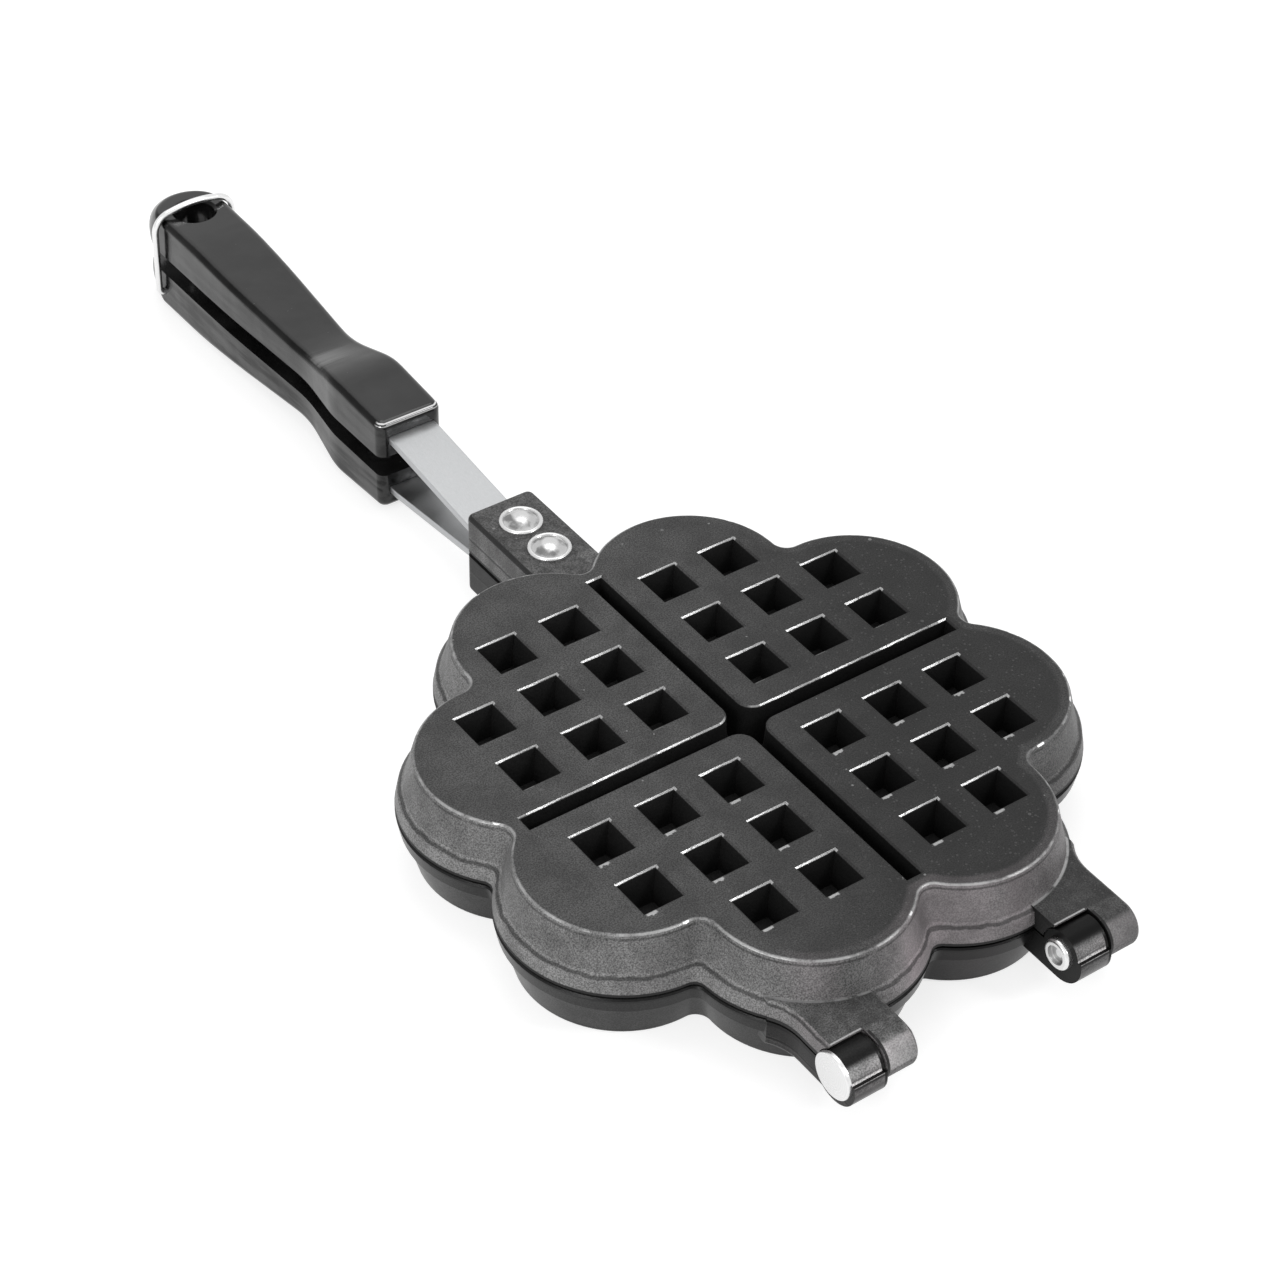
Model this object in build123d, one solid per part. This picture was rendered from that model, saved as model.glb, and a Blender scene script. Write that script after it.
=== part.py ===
from build123d import *
import math
import os

# Stovetop waffle iron, in millimetres.
#
# Two flower-shaped castings close on each other at the parting plane. Everything is drawn about that
# plane, with the plates' centre as the origin, for the upper half. The lower half is drawn the same way,
# with its own hinge leaves, and turned half a turn about the handle's own axis (Y). At the end all pieces
# are lifted and shifted, so that the underside of the lower plate lies at Z = 0 and the middle of the
# footprint is the origin. The handle runs to -Y and the hinge is at +Y.

# ---- plates ----
LOBES = 8
LOBE_CENTRE_R = 56.4        # centres of the eight round lobes
HALF_DEPTH = 16.3           # parting plane to the outer face of one plate
FACE_LOBE_R = 26.0          # lobe and notch radii of the outline at the outer face
FACE_NOTCH_R = 4.1
FACE_EDGE_R = 1.2           # rounding round the outer face
WALL_FOOT_LOBE_R = 28.7     # outline at the foot of the drafted wall
WALL_FOOT_NOTCH_R = 3.2
FLANGE_LOBE_R = 30.75       # outline of the flange at the parting plane
FLANGE_NOTCH_R = 3.0
FLANGE_DRAFT = 0.75         # how much narrower the flange is at its outer side
FLANGE_DEPTH = 4.75         # parting plane to the ledge above the flange
LEDGE_RISE = 1.15           # height of the slope between ledge and wall
LAND_GAP = 0.3              # each plate's rim stops this far short of the parting plane
LAND_BREAK = 0.4            # broken edge of the rim

# ---- heart-shaped hollows ----
CAVITY_LOBE_R = 25.5
CAVITY_NOTCH_R = 4.6
CAVITY_DRAFT = 9.0
CAVITY_FLOOR_R = 1.5
PLATE_WALL = 3.0            # plate thickness over the hollow

# ---- pits, each one the back of a hollow post ----
PITS_PER_SIDE = 3
PIT_PITCH = 19.0
PIT_FIRST = 15.5            # centre of the first pit from the middle lines
PIT_SIZE = 11.1
PIT_DRAFT = 10.0
PIT_EDGE = 0.45             # bevel at the mouth
BEVEL_ANGLE = 45.0
POST_TIP_GAP = 4.5          # post tip to the parting plane
POST_TIP_WALL = 2.5
POST_SIDE_WALL = 2.3

# ---- cross grooves, each one the back of a rib between the hearts ----
GROOVE_WIDTH = 4.4
GROOVE_REACH = 65.2         # half the length of a groove
GROOVE_DRAFT = 4.0
GROOVE_CORNER_R = 4.5
RIB_TIP_GAP = 1.5
RIB_TIP_WALL = 2.5
RIB_SIDE_WALL = 2.2

# ---- handle lug ----
LUG_WIDTH = 20.6
LUG_END_Y = -110.5
LUG_GAP = 0.65              # lug to the parting plane
LUG_TOP = 12.7
LUG_EDGE_R = 1.5
LUG_CORNER_R = 2.0
LUG_FLARE_R = 4.0
CHANNEL_CLEARANCE = 0.3     # strap to each side of the channel
CHANNEL_CEILING = 5.0

# ---- hinge ----
PIN_REACH = 35.8            # pins' axis further out than the lobes' centres
PIN_Y = LOBE_CENTRE_R + PIN_REACH
PIN_R = 2.5
PIN_FIT = 0.05              # radial running clearance on the pins
LEAF_INNER_X = 23.7
LEAF_OUTER_X = 43.3
UPPER_KNUCKLE_R = 6.1       # also the height of the upper leaves' outer face
LOWER_KNUCKLE_R = 6.0       # the side of a lower knuckle that the lid's leaf turns over
LOWER_LEAF_HEIGHT = 8.3     # outer face of the lower leaves, which carry the iron's weight on the hob
LOWER_BOSS_DROP = 0.9       # centre of the thicker round under a lower knuckle, below the pin
LOWER_BOSS_SETBACK = 0.2    # and behind it
STOP_ANGLE = 12.0           # the boss ends in a ledge this far up: the open lid's leaf would meet it
KNUCKLE_SPLIT = 0.8         # gap between the two knuckles of a hinge
KNUCKLE_SWING = 0.4         # leaf to the other half's turning knuckle
LEAF_LIP_Y = 3.3            # the blunt lip of a leaf stops this far before the pin's axis
LEAF_BLEND_R = 14.0
LEAF_EDGE_R = 1.4
ROOT_SHARE = 0.6            # a leaf's root is hidden this share of a lobe's radius past the lobe's centre
PIN_HEAD_R = 6.13
PIN_HEAD_T = 1.1
PIN_HEAD_EDGE_R = 0.4
DISHED_HEAD_R = 4.1         # the pin on the -X side has a smaller head with a dish in it
DISHED_HEAD_T = 1.8
DISHED_HEAD_EDGE_R = 0.8
PIN_DISH_R = 2.6
PIN_DISH_DEPTH = 1.2
PIN_BUTTON_R = 3.4          # the other end of each pin is closed over by a low button
PIN_BUTTON_T = 0.9
PIN_BUTTON_EDGE_R = 0.5
PIN_SIDE_PLAY = 0.3         # button to the turning knuckle beside it

# ---- straps ----
STRAP_WIDTH = 14.8
STRAP_T = 2.2
STRAP_EDGE_R = 0.4
STRAP_START_Y = -79.0
STRAP_RISE_ANGLE = 6.7
STRAP_BEND_R = 14.0
TANG_Z = 8.6                # middle of the strap inside the grip
TANG_END_Y = -182.0

# ---- rivets ----
RIVET_INNER_Y = -85.8
RIVET_OUTER_Y = -99.3
RIVET_R = 2.5
RIVET_FIT = 0.05
RIVET_HEAD_R = 5.95
RIVET_RIM_H = 1.1
RIVET_RIM_W = 1.35
RIVET_VALLEY_H = 0.8        # between the rim and the dome
RIVET_DOME_H = 2.4
RIVET_TAIL_R = 4.0
RIVET_TAIL_H = 1.3

# ---- grips ----
GRIP_FRONT_Y = -154.0
GRIP_INNER_Z = 3.2          # flat inner face to the parting plane
BLOCK_FRONT_TOP = 14.4
BLOCK_BACK_Y = -179.0
GRIP_TOP = 15.9
WAIST_Y = -197.5
WAIST_TOP = 11.7
PALM_Y = -256.5             # from here to the end the grip's top runs level
PALM_SIDE_Y = -240.0        # seen from above, the sides bulge out to here
BLOCK_FRONT_HALF = 10.2     # half widths seen from above
BLOCK_BACK_HALF = 10.6
WAIST_HALF = 8.1
PALM_HALF = 10.5
GRIP_END_Y = -281.5         # centre of the round end where it reaches furthest
GRIP_END_R = 11.0
NOSE_Z = 7.0                # height at which the end reaches furthest
NOSE_LENGTH = 19.0          # half axes of the ellipse that the end follows in side view
NOSE_HEIGHT = 12.0
NOSE_SECTIONS = 5
GRIP_EDGE_R = 2.2
GRIP_CORNER_R = 2.6
BLOCK_BACK_R = 36.0
WAIST_R = 55.0
PALM_R = 160.0
PALM_SIDE_R = 500.0
HANGING_Y = -275.0
HANGING_R = 6.0
HANGING_EDGE = 0.8
TANG_FIT = 0.15             # strap to its pocket in the grip, all round

# ---- grip screws ----
SCREW_Y = -172.0
SCREW_R = 1.75
SCREW_FIT = 0.05
SCREW_HEAD_R = 3.5
SCREW_HEAD_T = 1.8
SCREW_TIP_Z = 12.2
SCREW_SLOT_W = 1.0
SCREW_SLOT_DEPTH = 0.8
COUNTERBORE_R = 3.8
COUNTERBORE_DEPTH = 2.0

# ---- lock ring ----
WIRE_R = 1.0
RING_SETBACK = 2.6          # the ring's pivot lies this far beyond the middle of the hanging hole
RING_PIVOT_Z = -10.2        # below the parting plane, in the lower grip
RING_HALF = 13.1
RING_FOOT_HALF = 12.6
RING_RISE = 0.9             # shoulders above the grip's top
RING_ARCH = 2.6             # crown above the shoulders
RING_LEAN = 4.0             # locked, the ring leans towards the plates
RING_FOOT_X = 6.9
RING_HOLE_FIT = 0.1
RING_FOOT_R = 1.8
RING_SHOULDER_R = 6.0
RING_CROWN_R = 30.0

os.makedirs("parts", exist_ok=True)

RING_Y = HANGING_Y - RING_SETBACK
RING_SHOULDER_Z = GRIP_TOP + RING_RISE

DEEP = 60.0                                  # longer than anything a cutter has to pass
PAST = 1.0                                   # a cutter starts this far outside what it cuts
SAME = 0.01                                  # lengths closer than this are the same
LOBE_STEP = 360 / LOBES
FLOOR_Z = HALF_DEPTH - PLATE_WALL
WALL_FOOT_Z = FLANGE_DEPTH + LEDGE_RISE
OUTWARD = (0, 0, 1)
INWARD = (0, 0, -1)


def narrowing(depth, angle):
    """How far a side drafted at this angle leans in over this depth."""
    return depth * math.tan(math.radians(angle))


def polar(radius, angle):
    """Point at this radius and angle (degrees) about the plates' centre."""
    return Vector(radius * math.cos(math.radians(angle)), radius * math.sin(math.radians(angle)))


def notch_centre_r(lobe_r, notch_r):
    """Distance from the centre at which a notch circle touches both lobes beside it."""
    half_step = math.radians(LOBE_STEP / 2)
    along = LOBE_CENTRE_R * math.cos(half_step)
    across = LOBE_CENTRE_R * math.sin(half_step)
    return along + math.sqrt((lobe_r + notch_r) ** 2 - across**2)


def notch_bottom_r(lobe_r, notch_r):
    """Smallest radius of the flower outline, at the bottom of a notch."""
    return notch_centre_r(lobe_r, notch_r) - notch_r


def flower(lobe_r, notch_r, height):
    """Face of the plate's outline at a height: round lobes joined by small tangent notches."""
    centre_r = notch_centre_r(lobe_r, notch_r)
    arcs = []
    for lobe in range(LOBES):
        angle = (lobe + 0.5) * LOBE_STEP
        lobe_centre = polar(LOBE_CENTRE_R, angle)
        before = polar(centre_r, angle - LOBE_STEP / 2)
        after = polar(centre_r, angle + LOBE_STEP / 2)
        next_lobe = polar(LOBE_CENTRE_R, angle + LOBE_STEP)
        start = lobe_centre + (before - lobe_centre).normalized() * lobe_r
        end = lobe_centre + (after - lobe_centre).normalized() * lobe_r
        next_start = next_lobe + (after - next_lobe).normalized() * lobe_r
        arcs.append(ThreePointArc(start, polar(LOBE_CENTRE_R + lobe_r, angle), end))
        arcs.append(ThreePointArc(end, polar(centre_r - notch_r, angle + LOBE_STEP / 2), next_start))
    return Plane.XY.offset(height) * make_face(arcs)


def lobe_at(side_x, side_y):
    """Centre of the lobe next to the hinge or the handle, on the given sides of the middle lines."""
    centre = polar(LOBE_CENTRE_R, 90 - LOBE_STEP / 2)
    return Vector(math.copysign(centre.X, side_x), math.copysign(centre.Y, side_y))


def root_blend(side_x, side_y, blend_r):
    """Plan of the concave blend from a lug's side, at side_x, into the flange of the lobe beside it."""
    lobe = lobe_at(side_x, side_y)
    out = math.copysign(1.0, side_x)
    down = math.copysign(1.0, side_y)
    blend_x = side_x + out * blend_r
    reach = FLANGE_LOBE_R + blend_r
    blend_y = lobe.Y + down * math.sqrt(reach**2 - (blend_x - lobe.X) ** 2)
    centre = Vector(blend_x, blend_y)
    on_side = Vector(side_x, blend_y)
    on_lobe = lobe + (centre - lobe).normalized() * FLANGE_LOBE_R
    middle = centre + ((on_side + on_lobe) * 0.5 - centre).normalized() * blend_r
    inner = Vector(side_x, lobe.Y)
    return make_face([
        ThreePointArc(on_side, middle, on_lobe),
        Line(on_lobe, inner),
        Line(inner, on_side),
    ])


def block(x_min, x_max, y_min, y_max, z_min, z_max):
    """Box between six planes."""
    size = (x_max - x_min, y_max - y_min, z_max - z_min)
    return Pos(x_min, y_min, z_min) * Box(*size, align=(Align.MIN, Align.MIN, Align.MIN))


def upright(radius, x, y, z_min, z_max):
    """Vertical cylinder."""
    return Pos(x, y, z_min) * Cylinder(radius, z_max - z_min, align=(Align.CENTER, Align.CENTER, Align.MIN))


def crosswise(radius, x_min, x_max, y, z):
    """Cylinder along X."""
    plane = Plane((x_min, y, z), x_dir=(0, 1, 0), z_dir=(1, 0, 0))
    return plane * Cylinder(radius, x_max - x_min, align=(Align.CENTER, Align.CENTER, Align.MIN))


def frustum(width, start_z, depth, draft, direction):
    """Square peg that narrows from start_z in the given direction."""
    plane = Plane((0, 0, start_z), x_dir=(1, 0, 0), z_dir=direction)
    return extrude(plane * Rectangle(width, width), amount=depth, taper=draft)


def pit_places():
    """Centres of the pits: three rows of three in each quarter, without the outer corner one."""
    steps = range(PITS_PER_SIDE)
    last = PITS_PER_SIDE - 1
    for across in steps:
        for along in steps:
            if across == last and along == last:
                continue
            x = PIT_FIRST + across * PIT_PITCH
            y = PIT_FIRST + along * PIT_PITCH
            for side_x in (-1, 1):
                for side_y in (-1, 1):
                    yield Pos(side_x * x, side_y * y, 0)


def cross(half_width, reach, corner_r, start_z, depth, draft, direction):
    """Cross of two bars with rounded inner corners, narrowing in the given direction."""
    plan = Rectangle(2 * reach, 2 * half_width) + Rectangle(2 * half_width, 2 * reach)
    plan = fillet(plan.vertices().sort_by_distance((0, 0, 0))[:4], corner_r)
    plane = Plane((0, 0, start_z), x_dir=(1, 0, 0), z_dir=direction)
    return extrude(plane * plan, amount=depth, taper=draft)


def shell_outside():
    """Outer form of one casting: flange, ledge, drafted wall and rounded face."""
    rim = flower(FLANGE_LOBE_R - LAND_BREAK, FLANGE_NOTCH_R + LAND_BREAK, LAND_GAP)
    widest = flower(FLANGE_LOBE_R, FLANGE_NOTCH_R, LAND_GAP + LAND_BREAK)
    ledge = flower(FLANGE_LOBE_R - FLANGE_DRAFT, FLANGE_NOTCH_R, FLANGE_DEPTH)
    wall_foot = flower(WALL_FOOT_LOBE_R, WALL_FOOT_NOTCH_R, WALL_FOOT_Z)
    face = flower(FACE_LOBE_R, FACE_NOTCH_R, HALF_DEPTH)
    body = loft([rim, widest, ledge, wall_foot, face], ruled=True)
    return fillet(body.edges().group_by(Axis.Z)[-1], FACE_EDGE_R)


def lug():
    """Handle lug with its flared root, still without its channel."""
    half = LUG_WIDTH / 2
    bar = block(-half, half, LUG_END_Y, -LOBE_CENTRE_R, LUG_GAP, LUG_TOP)
    bar = fillet(bar.edges().filter_by(Axis.Z).group_by(Axis.Y)[0], LUG_CORNER_R)
    top = bar.faces().sort_by(Axis.Z)[-1]
    inner_edge = top.edges().sort_by(Axis.Y)[-1]
    bar = fillet([edge for edge in top.edges() if edge != inner_edge], LUG_EDGE_R)
    for side in (-1, 1):
        plan = Plane.XY.offset(LUG_GAP) * root_blend(side * half, -1, LUG_FLARE_R)
        bar += extrude(plan, amount=FLANGE_DEPTH - LUG_GAP)
    return bar


def lower_knuckle_section():
    """Section of a lower knuckle, outer side up: a round about the pin, and over its outer side a thicker
    boss that ends in the ledge."""
    boss = Pos(-LOWER_BOSS_SETBACK, LOWER_BOSS_DROP) * Circle(LOWER_LEAF_HEIGHT - LOWER_BOSS_DROP)
    lid_side = Rot(0, 0, -STOP_ANGLE) * Rectangle(DEEP, DEEP, align=(Align.CENTER, Align.MAX))
    return (boss - lid_side) + Circle(LOWER_KNUCKLE_R)


def leaf(side, height, section, soft_end, room_r, knuckle_span, room_span):
    """One hinge leaf with its knuckle, cut back where the other half's knuckle turns."""
    outer = side * LEAF_OUTER_X
    inner = side * LEAF_INNER_X
    low, high = sorted((inner, outer))
    lobe = lobe_at(side, 1)
    plan = make_face(Polyline((low, lobe.Y), (high, lobe.Y), (high, PIN_Y), (low, PIN_Y), close=True))
    plan += root_blend(outer, 1, LEAF_BLEND_R)
    slab = extrude(Plane.XY.offset(LAND_GAP) * plan, amount=height - LAND_GAP)
    knuckle_plane = Plane((knuckle_span[0], PIN_Y, 0), x_dir=(0, 1, 0), z_dir=(1, 0, 0))
    knuckle = extrude(knuckle_plane * section, amount=knuckle_span[1] - knuckle_span[0])
    room = crosswise(room_r, *room_span, PIN_Y, 0)
    beyond_lip = block(*room_span, PIN_Y - LEAF_LIP_Y, PIN_Y + height, 0, height + PAST)
    slab = slab - room - beyond_lip
    clear_of_root = lobe.Y + FLANGE_LOBE_R * ROOT_SHARE
    top_edges = [edge for edge in slab.edges().group_by(Axis.Z)[-1] if edge.center().Y > clear_of_root]
    soft_x = knuckle_span[0] if soft_end else outer
    soft_edges = [
        edge for edge in top_edges
        if abs(edge.center().X) > LEAF_OUTER_X - SAME or abs(edge.center().X - soft_x) < SAME
    ]
    slab = fillet(soft_edges, LEAF_EDGE_R)
    if soft_end:
        knuckle = fillet(knuckle.edges().group_by(Axis.X)[0], LEAF_EDGE_R)
    return slab + knuckle


def knuckle_spans(side, own_is_outer):
    """X ranges of this half's knuckle and of the room for the other half's."""
    middle = (LEAF_INNER_X + LEAF_OUTER_X) / 2
    half_split = KNUCKLE_SPLIT / 2
    inner_span = (LEAF_INNER_X, middle - half_split)
    outer_span = (middle + half_split, LEAF_OUTER_X)
    own = outer_span if own_is_outer else inner_span
    if own_is_outer:
        room = (LEAF_INNER_X - PAST, middle + half_split)
    else:
        room = (middle - half_split, LEAF_OUTER_X + PAST)
    if side > 0:
        return own, room
    return (-own[1], -own[0]), (-room[1], -room[0])


def plate(leaf_height, knuckle_section, soft_end, other_knuckle_r):
    """One complete casting, with the hinge leaves of its half."""
    body = shell_outside() + lug()
    for side in (-1, 1):
        own, room = knuckle_spans(side, own_is_outer=side < 0)
        room_r = other_knuckle_r + KNUCKLE_SWING
        body += leaf(side, leaf_height, knuckle_section, soft_end, room_r, own, room)

    lean = narrowing(FLOOR_Z, CAVITY_DRAFT)
    hollow = loft([
        flower(CAVITY_LOBE_R, CAVITY_NOTCH_R, 0),
        flower(CAVITY_LOBE_R - lean, CAVITY_NOTCH_R + lean, FLOOR_Z),
    ], ruled=True)
    hollow = fillet(hollow.edges().group_by(Axis.Z)[-1], CAVITY_FLOOR_R)
    body -= hollow

    post_width = PIT_SIZE - 2 * narrowing(PLATE_WALL, PIT_DRAFT) + 2 * POST_SIDE_WALL
    post = frustum(post_width, FLOOR_Z, FLOOR_Z - POST_TIP_GAP, PIT_DRAFT, INWARD)
    root = frustum(post_width, FLOOR_Z, PLATE_WALL / 2, PIT_DRAFT, OUTWARD)
    rib_half = GROOVE_WIDTH / 2 - narrowing(PLATE_WALL, GROOVE_DRAFT) + RIB_SIDE_WALL
    rib_reach = notch_bottom_r(FACE_LOBE_R, FACE_NOTCH_R)
    rib_corner_r = GROOVE_CORNER_R - RIB_SIDE_WALL
    rib = cross(rib_half, rib_reach, rib_corner_r, FLOOR_Z, FLOOR_Z - RIB_TIP_GAP, GROOVE_DRAFT, INWARD)
    places = list(pit_places())
    body += [rib] + [place * (post + root) for place in places]

    pit_depth = HALF_DEPTH - POST_TIP_GAP - POST_TIP_WALL
    pit = frustum(PIT_SIZE, HALF_DEPTH, pit_depth, PIT_DRAFT, INWARD)
    mouth = frustum(PIT_SIZE + 2 * PIT_EDGE, HALF_DEPTH, PIT_EDGE, BEVEL_ANGLE, INWARD)
    groove_half = GROOVE_WIDTH / 2
    groove_depth = HALF_DEPTH - RIB_TIP_GAP - RIB_TIP_WALL
    groove = cross(groove_half, GROOVE_REACH, GROOVE_CORNER_R, HALF_DEPTH, groove_depth, GROOVE_DRAFT, INWARD)
    groove_mouth = cross(groove_half + PIT_EDGE, GROOVE_REACH + PIT_EDGE, GROOVE_CORNER_R - PIT_EDGE,
                         HALF_DEPTH, PIT_EDGE, BEVEL_ANGLE, INWARD)
    body -= [groove, groove_mouth] + [place * (pit + mouth) for place in places]

    channel_half = STRAP_WIDTH / 2 + CHANNEL_CLEARANCE
    channel_end_y = STRAP_START_Y + CHANNEL_CLEARANCE
    body -= block(-channel_half, channel_half, LUG_END_Y - PAST, channel_end_y, 0, CHANNEL_CEILING)
    for y in (RIVET_INNER_Y, RIVET_OUTER_Y):
        body -= upright(RIVET_R + RIVET_FIT, 0, y, 0, HALF_DEPTH)
    for side in (-1, 1):
        low, high = sorted((side * (LEAF_INNER_X - PAST), side * (LEAF_OUTER_X + PAST)))
        body -= crosswise(PIN_R + PIN_FIT, low, high, PIN_Y, 0)
    return body


def strap():
    """Flat bar: straight in the lug, rising to the grip, then straight again as its tang."""
    lug_z = CHANNEL_CEILING - STRAP_T / 2
    rise = math.radians(STRAP_RISE_ANGLE)
    first_bend_y = LUG_END_Y - STRAP_BEND_R * math.tan(rise / 2)
    second_bend_y = first_bend_y - (TANG_Z - lug_z) / math.tan(rise)
    path = FilletPolyline(
        (0, STRAP_START_Y, lug_z),
        (0, first_bend_y, lug_z),
        (0, second_bend_y, TANG_Z),
        (0, TANG_END_Y, TANG_Z),
        radius=STRAP_BEND_R,
    )
    start = Plane(path @ 0, x_dir=(1, 0, 0), z_dir=path % 0)
    bar = sweep(start * RectangleRounded(STRAP_WIDTH, STRAP_T, STRAP_EDGE_R), path)
    for y in (RIVET_INNER_Y, RIVET_OUTER_Y):
        bar -= upright(RIVET_R + RIVET_FIT, 0, y, 0, LUG_TOP)
    return bar - upright(SCREW_R + SCREW_FIT, 0, SCREW_Y, 0, GRIP_TOP)


def rivet(y):
    """Brimmed dome head on the lug, shank through lug and strap, flat tail inside the channel."""
    rim_inner = RIVET_HEAD_R - RIVET_RIM_W
    brim_round = RIVET_RIM_W / 2
    crown = RIVET_DOME_H - RIVET_VALLEY_H
    dome_r = (rim_inner**2 + crown**2) / (2 * crown)
    half_view = Rectangle(DEEP, DEEP, align=(Align.MIN, Align.MIN))
    dome = Pos(0, RIVET_DOME_H - dome_r) * Circle(dome_r) & half_view
    dome &= Rectangle(rim_inner, RIVET_DOME_H, align=(Align.MIN, Align.MIN))
    brim = Rectangle(RIVET_HEAD_R - brim_round, RIVET_VALLEY_H, align=(Align.MIN, Align.MIN))
    bead_foot = RIVET_RIM_H - brim_round
    bead = Pos(RIVET_HEAD_R - brim_round, bead_foot) * Circle(brim_round)
    bead += Pos(rim_inner) * Rectangle(RIVET_RIM_W, bead_foot, align=(Align.MIN, Align.MIN))
    above_lug = Rectangle(RIVET_HEAD_R, RIVET_DOME_H, align=(Align.MIN, Align.MIN))
    head = revolve(Plane.XZ * ((dome + brim + bead) & above_lug), Axis.Z)
    strap_inside = CHANNEL_CEILING - STRAP_T
    tail = upright(RIVET_TAIL_R, 0, y, strap_inside - RIVET_TAIL_H, strap_inside)
    tail = chamfer(tail.edges().group_by(Axis.Z)[0], RIVET_TAIL_H / 3)
    return (Pos(0, y, LUG_TOP) * head) + upright(RIVET_R, 0, y, strap_inside, LUG_TOP) + tail


def tangent_point(outside, centre, radius):
    """Where a line from a point outside touches a circle, on the +X side."""
    to_point = outside - centre
    turn = math.degrees(math.acos(radius / to_point.length))
    return centre + to_point.normalized().rotate(Axis.Z, -turn) * radius


def grip_plan(height):
    """Grip seen from above, cut at one height: its round end leans back above and below the nose."""
    lean = (height - NOSE_Z) / NOSE_HEIGHT
    end_centre = Vector(0, GRIP_END_Y + NOSE_LENGTH * (1 - math.sqrt(1 - lean**2)))
    palm_side = Vector(PALM_HALF, PALM_SIDE_Y)
    end_touch = tangent_point(palm_side, end_centre, GRIP_END_R)
    right = FilletPolyline(
        (0, GRIP_FRONT_Y),
        (BLOCK_FRONT_HALF, GRIP_FRONT_Y),
        (BLOCK_BACK_HALF, BLOCK_BACK_Y),
        (WAIST_HALF, WAIST_Y),
        palm_side,
        end_touch,
        radius=(GRIP_CORNER_R, BLOCK_BACK_R, WAIST_R, PALM_SIDE_R),
    )
    end_tip = (0, end_centre.Y - GRIP_END_R)
    end = ThreePointArc(end_touch, end_tip, (-end_touch.X, end_touch.Y))
    return Plane.XY.offset(height) * make_face([right, end, mirror(right, Plane.YZ)])


def grip():
    """Grip: its side view crossed with a loft of its plans, with rounded upper edges."""
    tip_y = GRIP_END_Y - GRIP_END_R
    top_line = FilletPolyline(
        (GRIP_FRONT_Y, BLOCK_FRONT_TOP),
        (BLOCK_BACK_Y, GRIP_TOP),
        (WAIST_Y, WAIST_TOP),
        (PALM_Y, GRIP_TOP),
        (tip_y - PAST, GRIP_TOP),
        radius=(BLOCK_BACK_R, WAIST_R, PALM_R),
    )
    rest = Polyline(
        (tip_y - PAST, GRIP_TOP),
        (tip_y - PAST, GRIP_INNER_Z),
        (GRIP_FRONT_Y, GRIP_INNER_Z),
        (GRIP_FRONT_Y, BLOCK_FRONT_TOP),
    )
    side_view = extrude(Plane.YZ * make_face([top_line, rest]), amount=2 * GRIP_END_R, both=True)
    section_step = (GRIP_TOP + PAST - GRIP_INNER_Z) / (NOSE_SECTIONS - 1)
    plans = loft([grip_plan(GRIP_INNER_Z + step * section_step) for step in range(NOSE_SECTIONS)])
    body = side_view & plans

    rim = [
        edge for edge in body.edges()
        if edge.bounding_box().min.Z > GRIP_INNER_Z + GRIP_EDGE_R and not is_seam_across_top(edge)
    ]
    body = fillet(rim, GRIP_EDGE_R)

    pocket_half = STRAP_WIDTH / 2 + TANG_FIT
    pocket_t = STRAP_T / 2 + TANG_FIT
    pocket_end_y = TANG_END_Y - TANG_FIT
    body -= block(-pocket_half, pocket_half, pocket_end_y, GRIP_FRONT_Y + PAST, TANG_Z - pocket_t,
                  TANG_Z + pocket_t)
    body -= upright(HANGING_R, 0, HANGING_Y, 0, HALF_DEPTH)
    edge = 2 * HANGING_EDGE
    bevel = Cone(HANGING_R, HANGING_R + edge, edge, align=(Align.CENTER, Align.CENTER, Align.MIN))
    body -= Pos(0, HANGING_Y, GRIP_TOP - HANGING_EDGE) * bevel
    body -= upright(SCREW_R + SCREW_FIT, 0, SCREW_Y, 0, SCREW_TIP_Z + SCREW_FIT)
    return body - upright(COUNTERBORE_R, 0, SCREW_Y, 0, GRIP_INNER_Z + COUNTERBORE_DEPTH)


def is_seam_across_top(edge):
    """True for the seams that run straight across the grip's top from side to side, but not at its front."""
    start = edge.position_at(0)
    end = edge.position_at(1)
    from_side_to_side = abs(start.Y - end.Y) < SAME and start.X * end.X < 0
    straight = abs(edge.length - (end - start).length) < SAME
    return from_side_to_side and straight and start.Y < GRIP_FRONT_Y - PAST


def grip_screw():
    """Pan-head screw from the grip's inner face through the tang."""
    seat = GRIP_INNER_Z + COUNTERBORE_DEPTH
    head_bottom = seat - SCREW_HEAD_T
    head = upright(SCREW_HEAD_R, 0, SCREW_Y, head_bottom, seat)
    head = fillet(head.edges().group_by(Axis.Z)[0], SCREW_HEAD_T / 3)
    slot = block(-SCREW_HEAD_R, SCREW_HEAD_R, SCREW_Y - SCREW_SLOT_W / 2, SCREW_Y + SCREW_SLOT_W / 2,
                 0, head_bottom + SCREW_SLOT_DEPTH)
    shank = upright(SCREW_R, 0, SCREW_Y, seat, SCREW_TIP_Z)
    return (head - slot) + shank


def flat_head(face_x):
    """Flat round head of a hinge pin, standing on the plane at face_x."""
    head = crosswise(PIN_HEAD_R, face_x, face_x + PIN_HEAD_T, PIN_Y, 0)
    return fillet(head.edges().sort_by(Axis.X)[-1], PIN_HEAD_EDGE_R)


def dished_head(face_x):
    """Smaller round head of a hinge pin with a dish pressed in it, standing on the plane at face_x."""
    top_x = face_x + DISHED_HEAD_T
    head = crosswise(DISHED_HEAD_R, face_x, top_x, PIN_Y, 0)
    head = fillet(head.edges().sort_by(Axis.X)[-1], DISHED_HEAD_EDGE_R)
    return head - crosswise(PIN_DISH_R, top_x - PIN_DISH_DEPTH, top_x + PAST, PIN_Y, 0)


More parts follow.
